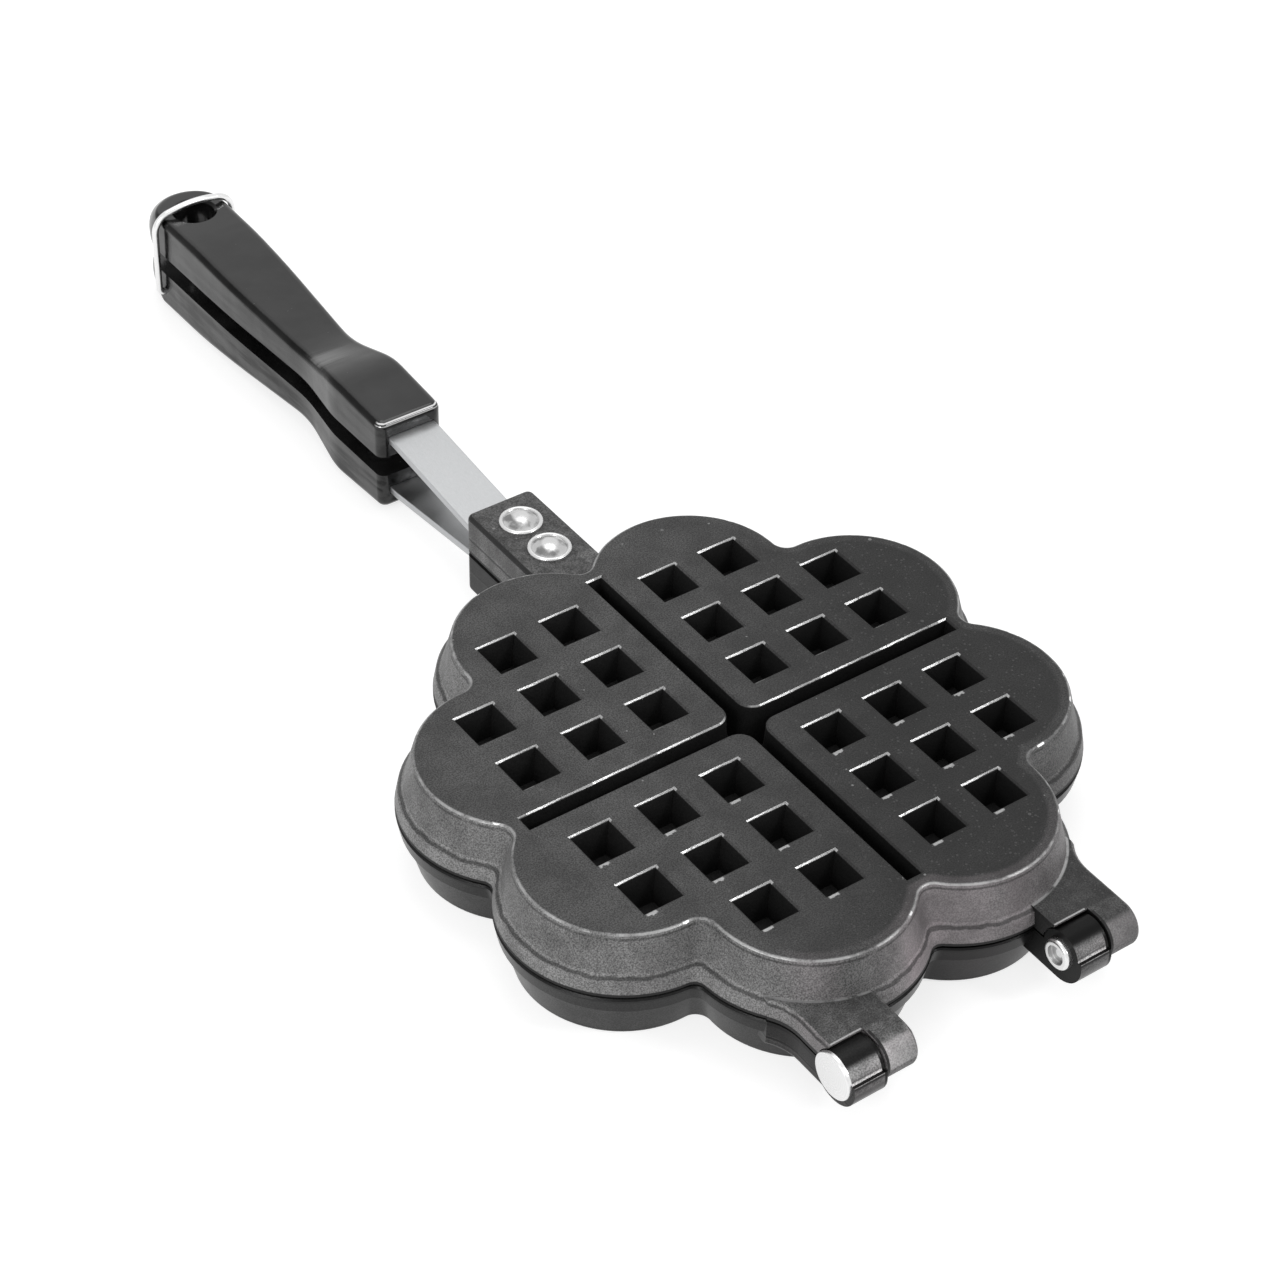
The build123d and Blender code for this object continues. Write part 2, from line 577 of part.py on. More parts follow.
def hinge_pin(head, face_x, end_x):
    """Pin from the plane under its head to a low button, clinched beyond the knuckle at end_x."""
    button = crosswise(PIN_BUTTON_R, end_x - PIN_BUTTON_T, end_x, PIN_Y, 0)
    button = fillet(button.edges().sort_by(Axis.X)[0], PIN_BUTTON_EDGE_R)
    shank = crosswise(PIN_R, end_x, face_x, PIN_Y, 0)
    return head + shank + button


def lock_ring():
    """Wire ring: its feet turn in the lower grip and its crown crosses above the upper one."""
    shoulder_z = RING_SHOULDER_Z - RING_PIVOT_Z
    path = FilletPolyline(
        (RING_FOOT_X, 0, 0),
        (RING_FOOT_HALF, 0, 0),
        (RING_HALF, 0, shoulder_z),
        (0, 0, shoulder_z + RING_ARCH),
        (-RING_HALF, 0, shoulder_z),
        (-RING_FOOT_HALF, 0, 0),
        (-RING_FOOT_X, 0, 0),
        radius=(RING_FOOT_R, RING_SHOULDER_R, RING_CROWN_R, RING_SHOULDER_R, RING_FOOT_R),
    )
    start = Plane(path @ 0, z_dir=path % 0)
    upright_ring = sweep(start * Circle(WIRE_R), path)
    return Pos(0, RING_Y, RING_PIVOT_Z) * Rot(-RING_LEAN, 0, 0) * upright_ring


def turned_over(piece):
    """The same piece for the other half: half a turn about the handle's axis."""
    return Rot(0, 180, 0) * piece


def build():
    """All pieces by name, about the parting plane and the plates' centre."""
    half = {
        "strap": strap(),
        "rivet_inner": rivet(RIVET_INNER_Y),
        "rivet_outer": rivet(RIVET_OUTER_Y),
        "grip": grip(),
        "grip_screw": grip_screw(),
    }
    pieces = {"upper_" + name: piece for name, piece in half.items()}
    pieces.update({"lower_" + name: turned_over(piece) for name, piece in half.items()})
    pieces["upper_plate"] = plate(UPPER_KNUCKLE_R, Circle(UPPER_KNUCKLE_R), True, LOWER_KNUCKLE_R)
    lower_section = lower_knuckle_section()
    pieces["lower_plate"] = turned_over(plate(LOWER_LEAF_HEIGHT, lower_section, False, UPPER_KNUCKLE_R))
    for side in (-1, 1):
        low, high = sorted((side * (RING_FOOT_X - RING_HOLE_FIT), side * RING_HALF))
        pieces["lower_grip"] -= crosswise(WIRE_R + RING_HOLE_FIT, low, high, RING_Y, RING_PIVOT_Z)
    right_end = LEAF_INNER_X - PIN_SIDE_PLAY
    left_end = -LEAF_OUTER_X - PIN_SIDE_PLAY
    pieces["hinge_pin_right"] = hinge_pin(flat_head(LEAF_OUTER_X), LEAF_OUTER_X, right_end)
    pieces["hinge_pin_left"] = hinge_pin(dished_head(-LEAF_INNER_X), -LEAF_INNER_X, left_end)
    pieces["lock_ring"] = lock_ring()
    return pieces


boss_r = LOWER_LEAF_HEIGHT - LOWER_BOSS_DROP
hinge_end_y = PIN_Y - LOWER_BOSS_SETBACK + boss_r
footprint_middle_y = (GRIP_END_Y - GRIP_END_R + hinge_end_y) / 2
print("middle of the footprint at Y", round(footprint_middle_y, 4), "from the plates' centre")
to_frame = Pos(0, -footprint_middle_y, HALF_DEPTH)
for node, piece in build().items():
    solids = (to_frame * piece).solids()
    whole = solids[0] if len(solids) == 1 else Compound(solids)
    export_step(whole, os.path.join("parts", node + ".step"))
    print(node, len(solids), "solid,", round(whole.volume), "mm3")
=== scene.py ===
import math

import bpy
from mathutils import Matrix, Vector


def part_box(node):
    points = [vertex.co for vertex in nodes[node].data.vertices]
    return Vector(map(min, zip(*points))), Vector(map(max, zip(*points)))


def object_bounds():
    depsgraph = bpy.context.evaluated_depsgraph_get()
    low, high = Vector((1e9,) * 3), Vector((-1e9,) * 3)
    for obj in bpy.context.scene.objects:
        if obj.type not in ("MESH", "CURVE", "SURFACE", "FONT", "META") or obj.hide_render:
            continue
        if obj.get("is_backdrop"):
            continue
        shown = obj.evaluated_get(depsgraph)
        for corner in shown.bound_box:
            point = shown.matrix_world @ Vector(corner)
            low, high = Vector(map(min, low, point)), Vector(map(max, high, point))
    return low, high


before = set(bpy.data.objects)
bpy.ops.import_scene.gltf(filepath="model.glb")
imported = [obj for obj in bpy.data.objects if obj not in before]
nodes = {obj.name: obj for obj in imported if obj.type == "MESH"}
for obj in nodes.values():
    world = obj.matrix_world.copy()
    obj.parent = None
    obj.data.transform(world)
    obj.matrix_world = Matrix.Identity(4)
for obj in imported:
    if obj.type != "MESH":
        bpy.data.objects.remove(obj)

# %% [markdown]
# # A stovetop waffle iron, dressed
# Two flower-shaped castings close on each other. Each has a strap of flat steel riveted into its lug and
# a moulded grip on the strap, and a wire ring locks the two grips. The solids are already in the file, in
# metres, with the handle towards -Y, the hinge towards +Y and the hob at Z = 0. This lesson gives them
# their finishes: the tumbled skin of the castings, satin steel, clinched aluminium and glossy grips. Then
# it sets up the light and the camera.

MM = 0.001                      # a millimetre, in metres
cad_low, cad_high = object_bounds()
for name in sorted(nodes):
    low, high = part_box(name)
    size = (high - low) / MM
    print(f"{name:20s} {size.x:6.1f} x {size.y:6.1f} x {size.z:5.1f} mm")

# %% [markdown]
# ## Places to measure from
# A finish that changes over a casting, such as bare metal along a bevel, needs to know where it is on the
# casting. It could be painted by hand, but then it would be lost with the next change of shape. So all
# masks below measure in millimetres from the middle of the plates, on the plane where the two halves
# meet. That point is the origin that a pattern maker would use too.

# %% The middle of the plates
PLATE_Y = 0.09655               # the plates' middle, in metres from the origin
PARTING_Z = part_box("upper_plate")[1].z / 2
HALF_DEPTH = PARTING_Z / MM     # parting plane to either outer face
LOBE_CENTRE_R = 56.4            # centres of the eight round lobes
PIN_Y = 92.2                    # the hinge pins' axis
middle = Vector((0, PLATE_Y, PARTING_Z))
print("middle of the plates", [round(v / MM, 2) for v in middle], "mm, half depth", round(HALF_DEPTH, 2))

# %% [markdown]
# ## Small helpers for shader nodes
# A shader is a graph. Typing each node, each link and each number by hand takes many lines, so short
# helpers do it. `fill` gives one socket its value, `put` adds a node and fills its sockets in order, and
# `calc` and `vector` are one sum each, with numbers and with vectors.

# %% Helpers: nodes and sums
def fill(tree, socket, value):
    """Wire a socket up if its value comes out of a node, and type the value in if it doesn't."""
    if isinstance(value, bpy.types.NodeSocket):
        tree.links.new(value, socket)
    elif value is not None:
        socket.default_value = value


def put(tree, kind, *values, **settings):
    """Add a node, set it up and fill its inputs in order."""
    made = tree.nodes.new("ShaderNode" + kind)
    for name, value in settings.items():
        setattr(made, name, value)
    for socket, value in zip(made.inputs, values):
        fill(tree, socket, value)
    return made


def calc(tree, operation, *values):
    """One sum of a Math node."""
    return put(tree, "Math", *values, operation=operation).outputs[0]


def vector(tree, operation, *values):
    """One sum of a Vector Math node. A length or a dot product comes out as a number."""
    made = put(tree, "VectorMath", *values, operation=operation)
    return made.outputs["Value" if operation in ("LENGTH", "DOT_PRODUCT") else "Vector"]


print("helpers: fill, put, calc, vector")

# %% [markdown]
# A mask says how much of a finish a point has, from 0 to 1. `fade` makes one from any measure, `band`
# keeps what lies between two values, `product` is where several masks hold at once, and `invert` is where
# one doesn't. `between` then mixes two numbers or two colours by a mask.

# %% Helpers: masks and mixing
def fade(tree, value, start, end):
    """A mask that goes smoothly from 0 at start to 1 at end. Start may be the larger one."""
    low, high = min(start, end), max(start, end)
    node = put(tree, "MapRange", value, low, high, interpolation_type="SMOOTHSTEP")
    node.inputs["To Min"].default_value = float(start > end)
    node.inputs["To Max"].default_value = float(start < end)
    return node.outputs[0]


def product(tree, first, *others):
    """Several masks at once: 1 only where each of them is 1."""
    for other in others:
        first = calc(tree, "MULTIPLY", first, other)
    return first


def band(tree, value, low, high, soft):
    """A mask that is 1 from low to high, with soft ends."""
    rise, fall = fade(tree, value, low - soft, low + soft), fade(tree, value, high + soft, high - soft)
    return product(tree, rise, fall)


def invert(tree, mask):
    """1 where the mask is 0."""
    return calc(tree, "SUBTRACT", 1.0, mask)


def between(tree, mask, a, b):
    """All a where the mask is 0 and all b where it is 1, for two numbers or two colours."""
    is_colour = any(isinstance(v, tuple) or getattr(v, "type", None) == "RGBA" for v in (a, b))
    node = put(tree, "Mix", data_type="RGBA" if is_colour else "FLOAT")
    first, result = (6, 2) if is_colour else (2, 0)      # where a Mix node keeps each kind's sockets
    for index, value in ((0, mask), (first, a), (first + 1, b)):
        fill(tree, node.inputs[index], value)
    return node.outputs[result]


print("helpers: fade, product, band, invert, between")

# %% [markdown]
# The last helpers are for places, clouds and greys. `parts` takes a vector apart and `point` puts one
# together. `noise` is an even random cloud, and in a place that `stretch` has squeezed along one axis,
# the same cloud becomes lines. Metal and black plastic are nearly all grey, so `grey` writes a colour as
# one number.

# %% Helpers: places, clouds and greys
def parts(tree, whole):
    """The x, y and z of a vector."""
    return put(tree, "SeparateXYZ", whole).outputs[:]


def point(tree, x, y, z):
    """A vector from its x, y and z."""
    return put(tree, "CombineXYZ", x, y, z).outputs[0]


def stretch(tree, place, factors):
    """A place with each axis on its own scale. A small factor draws the pattern out along that axis."""
    return vector(tree, "MULTIPLY", place, factors)


def noise(tree, place, per_mm, detail, roughness):
    """A random cloud with so many lumps to a millimetre."""
    return put(tree, "TexNoise", place, None, per_mm, detail, roughness).outputs["Fac"]


def around_one(tree, value, contrast):
    """A factor about 1 from a value about 0.5, for lightening and darkening."""
    return calc(tree, "MULTIPLY_ADD", calc(tree, "SUBTRACT", value, 0.5), contrast, 1.0)


def grey(value):
    """A grey as a colour."""
    return (value, value, value, 1.0)


print("helpers: parts, point, stretch, noise, around_one, grey")

# %% [markdown]
# ## Shader node groups
# An effect that several finishes share is built once as a group with named sockets, and each finish gives
# it its own values. `new_group` makes an empty one, `hand_out` fills its outputs, and `use` places it in
# a material.

# %% Helpers: node groups
def new_group(name, inputs, outputs, kind="Float"):
    """An empty shader group. An input without a number takes a vector."""
    group = bpy.data.node_groups.new(name, "ShaderNodeTree")
    for label, value in inputs.items():
        socket_type = "NodeSocketVector" if value is None else "NodeSocketFloat"
        socket = group.interface.new_socket(name=label, in_out="INPUT", socket_type=socket_type)
        if value is not None:
            socket.default_value = value
    for label in outputs:
        group.interface.new_socket(name=label, in_out="OUTPUT", socket_type="NodeSocket" + kind)
    return group, group.nodes.new("NodeGroupInput").outputs, group.nodes.new("NodeGroupOutput").inputs


def hand_out(group, result, values):
    """Wire a group's results to its outputs."""
    for label, value in values.items():
        group.links.new(value, result[label])
    print("group:", group.name, "gives", ", ".join(values))


def use(tree, group, **values):
    """Place a group in a material, fill its named sockets and return its outputs."""
    node = tree.nodes.new("ShaderNodeGroup")
    node.node_tree = group
    for label, value in values.items():
        fill(tree, node.inputs[label.replace("_", " ")], value)
    return node.outputs


print("helpers: new_group, hand_out, use")

# %% [markdown]
# The first group gives the place on a casting, in millimetres, and the direction that its surface faces.
# The lower casting is the upper one turned over about the handle's axis, so X and Z change sign there.
# With that, one set of masks fits both.

# %% Group: place on a casting
place_group, given, result = new_group(
    "place in millimetres", {"Turned Over": 0.0}, ("Place", "Facing"), kind="Vector"
)
where = put(place_group, "TexCoord").outputs
from_middle = vector(place_group, "SUBTRACT", where["Object"], middle)
in_mm = vector(place_group, "MULTIPLY", from_middle, (1 / MM,) * 3)
sign = calc(place_group, "MULTIPLY_ADD", given["Turned Over"], -2.0, 1.0)
flip = point(place_group, sign, 1.0, sign)
hand_out(place_group, result, {
    "Place": vector(place_group, "MULTIPLY", in_mm, flip),
    "Facing": vector(place_group, "MULTIPLY", where["Normal"], flip),
})

# %% [markdown]
# The second group is the grain of a tumbled casting: tiny pits and bumps of about a third of a
# millimetre, with a slower cloud over them, because tumbling never wears a casting evenly. An image of
# metal would show its seams on such a shape, so two noises do it. They give one value each for the
# colour, and a height for the bump.

# %% Group: cast grain
grain_group, given, result = new_group(
    "cast grain", {"Place": None, "Grain Size": 0.35, "Cloud Size": 9.0}, ("Speckle", "Cloud", "Height")
)
fine = noise(grain_group, given["Place"], calc(grain_group, "DIVIDE", 1.0, given["Grain Size"]), 2.0, 0.6)
slow = noise(grain_group, given["Place"], calc(grain_group, "DIVIDE", 1.0, given["Cloud Size"]), 3.0, 0.55)
hand_out(grain_group, result, {
    "Speckle": fade(grain_group, fine, 0.3, 0.7),
    "Cloud": fade(grain_group, slow, 0.3, 0.7),
    "Height": fine,
})

# %% [markdown]
# The third group says how far out a point is. The outline is eight circles with their centres on one
# ring, so the useful measure is the distance from the nearest lobe's centre. Folding the angle into one
# eighth of a turn finds the nearest lobe with one sum instead of eight.

# %% Group: distance from the lobes
LOBES = 8
outline_group, given, result = new_group(
    "distance from the lobes", {"Place": None}, ("Lobe Distance", "Radius")
)
x, y, _ = parts(outline_group, given["Place"])
radius = vector(outline_group, "LENGTH", point(outline_group, x, y, 0.0))
eighth = math.tau / LOBES
angle = calc(outline_group, "WRAP", calc(outline_group, "ARCTAN2", y, x), eighth, 0.0)
angle = calc(outline_group, "SUBTRACT", angle, eighth / 2)
outwards = calc(outline_group, "MULTIPLY", radius, calc(outline_group, "COSINE", angle))
sidewards = calc(outline_group, "MULTIPLY", radius, calc(outline_group, "SINE", angle))
from_lobe = point(outline_group, calc(outline_group, "SUBTRACT", outwards, LOBE_CENTRE_R), sidewards, 0.0)
hand_out(outline_group, result, {
    "Lobe Distance": vector(outline_group, "LENGTH", from_lobe),
    "Radius": radius,
})

# %% [markdown]
# ## Zones of a casting
# The castings need to know which of their surfaces they are on. A painter would mask them with tape. Here
# one group gives a mask for each zone, from the height above the parting plane in millimetres, the place
# along and across the iron, and `lift`, the upward share of the surface's direction: 1 on a flat top, 0
# on an upright wall and below 0 on an underside. The first cell makes the measures, and the next ones the
# zones.

# %% Zones: the measures
zones_group, given, result = new_group("zones of a casting", {"Place": None, "Facing": None}, (
    "Outside", "Face", "Flat", "Cooking", "Flange", "Ledge", "Ledge Light", "Seam", "Rim Line", "Rim Shade",
    "Bevel", "Lug", "Lug Edge", "Ear", "Knuckle", "Gap Edge", "Boss", "Boss Line", "Bright Foot", "Lip",
))
tree = zones_group
place, facing = given["Place"], given["Facing"]
across, along, height = parts(tree, place)
facing_x, _, lift = parts(tree, facing)
lobes = use(tree, outline_group, Place=place)
in_plan = vector(tree, "MULTIPLY", facing, (1.0, 1.0, 0.0))
lean_out = calc(tree, "DIVIDE", vector(tree, "DOT_PRODUCT", in_plan, place), lobes["Radius"])
upward = fade(tree, lift, 0.85, 0.97)
at_face = fade(tree, height, HALF_DEPTH - 0.12, HALF_DEPTH - 0.04)
print("measures: across, along, height, lift, lean out, upward and at the face")

# %% [markdown]
# A point is outside when it is as far out as the wall and its surface leans outwards. The outer face is
# the flat one at full depth, and all other flat tops are the ledge, the lug and the hinge leaves. What
# looks down to the other casting and isn't outside is the cooking side.

# %% Zones: the broad areas
WALL_FROM_LOBE = 24.0           # the wall is at least this far from its lobe's centre
NOTCH_R = 67.5                  # and, in the notches, this far from the middle
far_out = product(tree, fade(tree, lobes["Lobe Distance"], WALL_FROM_LOBE - 1.5, WALL_FROM_LOBE),
                  fade(tree, lobes["Radius"], NOTCH_R - 1.3, NOTCH_R))
outside = product(tree, far_out, fade(tree, lean_out, -0.3, -0.1), fade(tree, lift, -0.9, -0.6))
zones = {
    "Outside": outside,
    "Face": product(tree, upward, at_face),
    "Flat": product(tree, outside, upward, invert(tree, at_face)),
    "Cooking": product(tree, fade(tree, lift, 0.0, -0.06), invert(tree, outside)),
}
print("areas:", ", ".join(zones))

# %% [markdown]
# From the parting plane up, the outside has a black seam of painted shade, the upright flange, a ledge
# with a line of painted shade at its foot and a line of painted highlight on its lip, the drafted wall, a
# band of painted shade under the rim, and the rim that rounds over into the face. The ledge's lines wander
# a little. Each pit's mouth has a bevel.

# %% Zones: seam, flange, ledge, rim and bevel
FLANGE_TOP = 4.75               # height of the ledge's foot
LEDGE_FOOT, LEDGE_LIP = (5.0, 5.6), (5.8, 6.3)      # heights of its dark and its light line
RIM_START = 15.4                # where the wall starts to round over
LEAF_START = 87.0               # how far back the hinge leaves leave the wall
wander = noise(tree, place, 0.25, 2.0, 0.6)
wander = calc(tree, "MULTIPLY_ADD", wander, 0.9, calc(tree, "SUBTRACT", height, 0.45))
before_leaf = fade(tree, along, LEAF_START, LEAF_START - 1)
at_rim = fade(tree, height, RIM_START, RIM_START + 0.4)
at_mouth = fade(tree, height, HALF_DEPTH - 0.62, HALF_DEPTH - 0.5)
zones |= {
    # the seam and the ledge's foot are painted shade, and the ledge's lip is a painted highlight
    "Seam": product(tree, outside, band(tree, height, -0.6, 1.4, 0.15), before_leaf),
    "Flange": product(tree, outside, fade(tree, height, FLANGE_TOP + 0.1, FLANGE_TOP - 0.05)),
    "Ledge": product(tree, outside, band(tree, wander, *LEDGE_FOOT, 0.1)),
    "Ledge Light": product(tree, outside, band(tree, wander, *LEDGE_LIP, 0.15)),
    "Rim Shade": product(tree, outside, band(tree, height, RIM_START - 0.65, RIM_START - 0.1, 0.15)),
    "Rim Line": product(tree, outside, at_rim, band(tree, lift, 0.62, 0.93, 0.06)),
    "Bevel": product(tree, invert(tree, far_out), at_mouth, band(tree, lift, 0.5, 0.85, 0.05)),
}
print("round the casting:", ", ".join(list(zones)[4:]))

# %% [markdown]
# The lug for the strap is in front, and the groove along its long edge is painted dark as painted shade.
# The hinge is behind. There the leaves end in round eyes: the upper casting's turned over the pin, and the
# lower casting's thicker, with a ledge that holds the open lid. The round parts get bands of painted
# highlight, painted floor reflection and painted shade, told apart by where they face, in steps of `lift`,
# and the edges beside the gaps between them get painted shade.

# %% Zones: lug and hinge
LUG_START = -79.0               # where the lug leaves the wall
LEAF_TOP = 6.1                  # the leaves' outer face
LUG_GROOVE = (11.3, 12.62)      # heights of the groove along the lug's edge
EYE_START = 88.5                # how far back the leaves round into eyes
LIP_Y = PIN_Y - 3.3             # end of the leaf over the other casting's knuckle
LEFT_GAP, RIGHT_GAP = (-34.65, -33.0), (32.35, 34.0)        # edges beside a gap, across the iron
LEFT_LEAF, RIGHT_LEAF = (-33.3, -23.9), (33.6, 43.1)        # leaf over a knuckle, across the iron
lug_edge = band(tree, height, *LUG_GROOVE, 0.06)
no_side = invert(tree, fade(tree, calc(tree, "ABSOLUTE", facing_x), 0.3, 0.6))
round_end = product(tree, far_out, fade(tree, along, EYE_START, EYE_START + 1), no_side)
beside_gap = calc(tree, "MAXIMUM", *(band(tree, across, *gap, 0.1) for gap in (RIGHT_GAP, LEFT_GAP)))
own_leaf = calc(tree, "MAXIMUM", *(band(tree, across, *leaf, 0.1) for leaf in (LEFT_LEAF, RIGHT_LEAF)))
leaf_top = product(tree, outside, upward, band(tree, height, LEAF_TOP - 0.2, LEAF_TOP + 0.2, 0.05))
zones |= {
    "Lug": product(tree, outside, fade(tree, along, LUG_START, LUG_START - 3)),
    # the groove along the lug's edge is painted shade
    "Lug Edge": product(tree, outside, lug_edge, band(tree, lift, 0.2, 0.93, 0.05),
                        fade(tree, along, LUG_START, LUG_START - 1)),
    "Ear": product(tree, outside, band(tree, lift, 0.0, 0.95, 0.05),
                   fade(tree, along, EYE_START + 2, EYE_START + 5), no_side),
    # bands of painted highlight, painted floor reflection and painted shade on the round eyes, and painted
    # shade beside the gaps
    "Knuckle": product(tree, round_end, band(tree, lift, -0.8, -0.36, 0.08)),
    "Gap Edge": product(tree, round_end, fade(tree, along, EYE_START + 1, EYE_START + 2), beside_gap),
    "Boss": product(tree, round_end, fade(tree, lift, -0.22, -0.16)),
    "Boss Line": product(tree, round_end, band(tree, lift, -0.33, -0.25, 0.03)),
    "Bright Foot": product(tree, leaf_top, fade(tree, lobes["Lobe Distance"], 29.5, 29.1)),
    "Lip": product(tree, leaf_top, band(tree, along, LIP_Y - 0.45, LIP_Y + 0.1, 0.1), own_leaf),
}
hand_out(tree, result, zones)

# %% [markdown]
# ## Bright mouths
# The bevel on the handle side of each pit, the side that faces the light, is bright bare metal, with a
# bright tick round its corner, while the other bevels are still coated: partly wear and partly a painted
# highlight. The pits have one pitch both ways, so one folded coordinate draws all 32 instead of a list of
# places.

# %% Bright mouths: where the pits are
PIT_FIRST, PIT_PITCH = 15.5, 19.0       # centre of the first pit from either axis, and on to the next
FIELD = (9.4, 60.3)                     # the pits lie between these distances from either axis
FIELD_CORNER = 101.0                    # and no pit has more than this for the sum of both
bevel_marks_group, given, result = new_group(
    "worn and highlighted mouths", {"Place": None, "Facing": None}, ("Worn And Highlighted Bevel", "Burr")
)


def from_pit_centre(tree, coordinate):
    """Distance from the nearest pit's centre along one axis, with its sign."""
    past_first = calc(tree, "SUBTRACT", calc(tree, "ABSOLUTE", coordinate), PIT_FIRST)
    folded = calc(tree, "WRAP", past_first, PIT_PITCH / 2, -PIT_PITCH / 2)
    return calc(tree, "MULTIPLY", folded, calc(tree, "SIGN", coordinate))


tree, place = bevel_marks_group, given["Place"]
x, y, height = parts(tree, place)
facing_x, facing_y, _ = parts(tree, given["Facing"])
from_pit_x, from_pit_y = from_pit_centre(tree, x), from_pit_centre(tree, y)
size_x, size_y = calc(tree, "ABSOLUTE", x), calc(tree, "ABSOLUTE", y)
at_pits = product(tree, band(tree, size_x, *FIELD, 0.2), band(tree, size_y, *FIELD, 0.2),
                  fade(tree, calc(tree, "ADD", size_x, size_y), FIELD_CORNER, FIELD_CORNER - 1))
print("pits every", PIT_PITCH, "mm from", PIT_FIRST, "mm")

# %% [markdown]
# The bright line is ragged along its length, and its width changes slowly. On the side towards the hinge a
# small burr stands at one corner of each pit.

# %% Bright mouths: the bright bevel and the burr
ragged = noise(tree, place, 0.9, 3.0, 0.7)
pressure = noise(tree, place, 0.22, 1.0, 0.5)
inner = calc(tree, "MULTIPLY_ADD", pressure, 0.36, HALF_DEPTH - 0.55)
narrow = fade(tree, calc(tree, "SUBTRACT", height, inner), -0.04, 0.04)
stronger_right = calc(tree, "MULTIPLY_ADD", fade(tree, from_pit_x, -5.0, 5.0), 0.45, 0.55)
# bare metal only on bevels facing +Y, where the light falls: wear and painted highlight
lit_bevel_line = product(tree, fade(tree, facing_y, 0.4, 0.6), fade(tree, ragged, 0.22, 0.42), narrow,
                     stronger_right)
tick = product(tree, fade(tree, facing_x, 0.4, 0.6), band(tree, from_pit_y, -6.2, -4.9, 0.2), at_pits)
burr_end = calc(tree, "SUBTRACT", from_pit_y, calc(tree, "MULTIPLY_ADD", ragged, 2.4, 5.6))
burr = product(tree, band(tree, from_pit_x, 2.6, 5.4, 0.25), fade(tree, from_pit_y, 5.3, 5.5),
               fade(tree, burr_end, 0.15, -0.15), at_pits, fade(tree, y, -30.0, 10.0))
hand_out(tree, result, {"Worn And Highlighted Bevel": calc(tree, "MAXIMUM", lit_bevel_line, tick), "Burr": burr})

# %% [markdown]
# ## Bright specks
# Where coated metal is knocked, single grains of the coating come off. A noise would give soft clouds, so
# the specks come from cells: each cell has one round speck at its centre, with a size of its own, and
# only a share of the cells has any. The same group is dust on the grips.

# %% Group: bright specks
speck_group, given, result = new_group(
    "bright specks", {"Place": None, "Spacing": 3.0, "Size": 0.3, "Share": 0.3}, ("Mask",)
)
tree, spacing = speck_group, given["Spacing"]
cells = put(tree, "TexVoronoi", given["Place"], None, calc(tree, "DIVIDE", 1.0, spacing)).outputs
lot_share, lot_size, _ = parts(tree, cells["Color"])
in_cell = calc(tree, "MULTIPLY", cells["Distance"], spacing)
speck = calc(tree, "LESS_THAN", in_cell, calc(tree, "MULTIPLY", given["Size"], lot_size))
chosen = calc(tree, "LESS_THAN", lot_share, given["Share"])
hand_out(tree, result, {"Mask": product(tree, speck, chosen)})

# %% [markdown]
# ## The castings
# Both plates are cast aluminium with a dark fired coating. On the upper one the outer face is matt and
# finely speckled, the drafted wall was tumbled, so it is lighter and grainier, and the flange is lighter
# still. Inside the pits and the cross grooves the coating is untouched and nearly black. The lower
# casting has fresh glossy coating all over. One recipe does both, because a real casting has one skin:
# the zones say how much of each finish a point has, and each casting gives its own values. The recipe
# comes in steps, one function each.

# %% A new material
def new_material(name, metallic=0.0):
    """A material, its node tree and its shader, which stays in the material itself."""
    made = bpy.data.materials.new(name)
    made.use_nodes = True
    shader = made.node_tree.nodes["Principled BSDF"].inputs
    fill(made.node_tree, shader["Metallic"], metallic)
    return made, made.node_tree, shader


print("helper: new_material")

# %% [markdown]
# First the areas are painted over each other, from the inside of the pits out, ending with bands of
# painted highlight, painted reflection and painted shade on the round eyes. Then the hinge's eyes are made
# lighter on their upper curve, more at +X, and lines of painted shade and painted highlight are drawn
# along the edges.

# %% Casting: areas and lines
def paint_areas(tree, zone, tones, rough):
    """Grey and roughness of each area."""
    value, roughness = tones["inside"], rough["inside"]
    # the ledge's tone is a line of painted shade at its foot
    for label in ("Cooking", "Outside", "Ledge", "Flange", "Flat", "Face", "Bevel"):
        value = between(tree, zone[label], value, tones[label])
        roughness = between(tree, zone[label], roughness, rough.get(label, rough["Outside"]))
    # bands of painted highlight, painted floor reflection and painted shade on the round eyes
    for label in ("Boss", "Knuckle", "Boss Line"):
        value = between(tree, zone[label], value, tones[label])
    return value, roughness


def draw_lines(tree, zone, across, breaks, value, tones):
    """Lighter eyes, a darker lug, painted shade under the rim, a painted highlight on the ledge's lip, and
    painted shade along the seam, the lug's groove and beside the gaps.
    """
    eye_lightening = between(tree, fade(tree, across, -20.0, 20.0), tones["ear"], tones["ear"] * 2.0)
    rim_shade = product(tree, zone["Rim Shade"], fade(tree, breaks, 0.36, 0.5))
    # the band under the rim is painted shade, and the ledge's lip is a painted highlight
    for mask, factor in ((zone["Ear"], eye_lightening), (zone["Lug"], 0.72), (rim_shade, 0.45),
                         (zone["Ledge Light"], 1.35)):
        value = calc(tree, "MULTIPLY", value, between(tree, mask, 1.0, factor))
    # painted shade along the seam, the lug's groove and beside the gaps
    for label, share in (("Seam", 1.0), ("Lug Edge", 1.5), ("Gap Edge", 1.0)):
        value = between(tree, zone[label], value, tones["inside"] * share)
    return value


print("steps: paint_areas, draw_lines")

# %% [markdown]
# The coating gets painted shade that darkens towards -X and the hinge, on the same side for both castings,
# and half as much on the walls. In the notch between the rear lobes, and in blotches, the walls are a
# warmer, lighter and smoother grey.

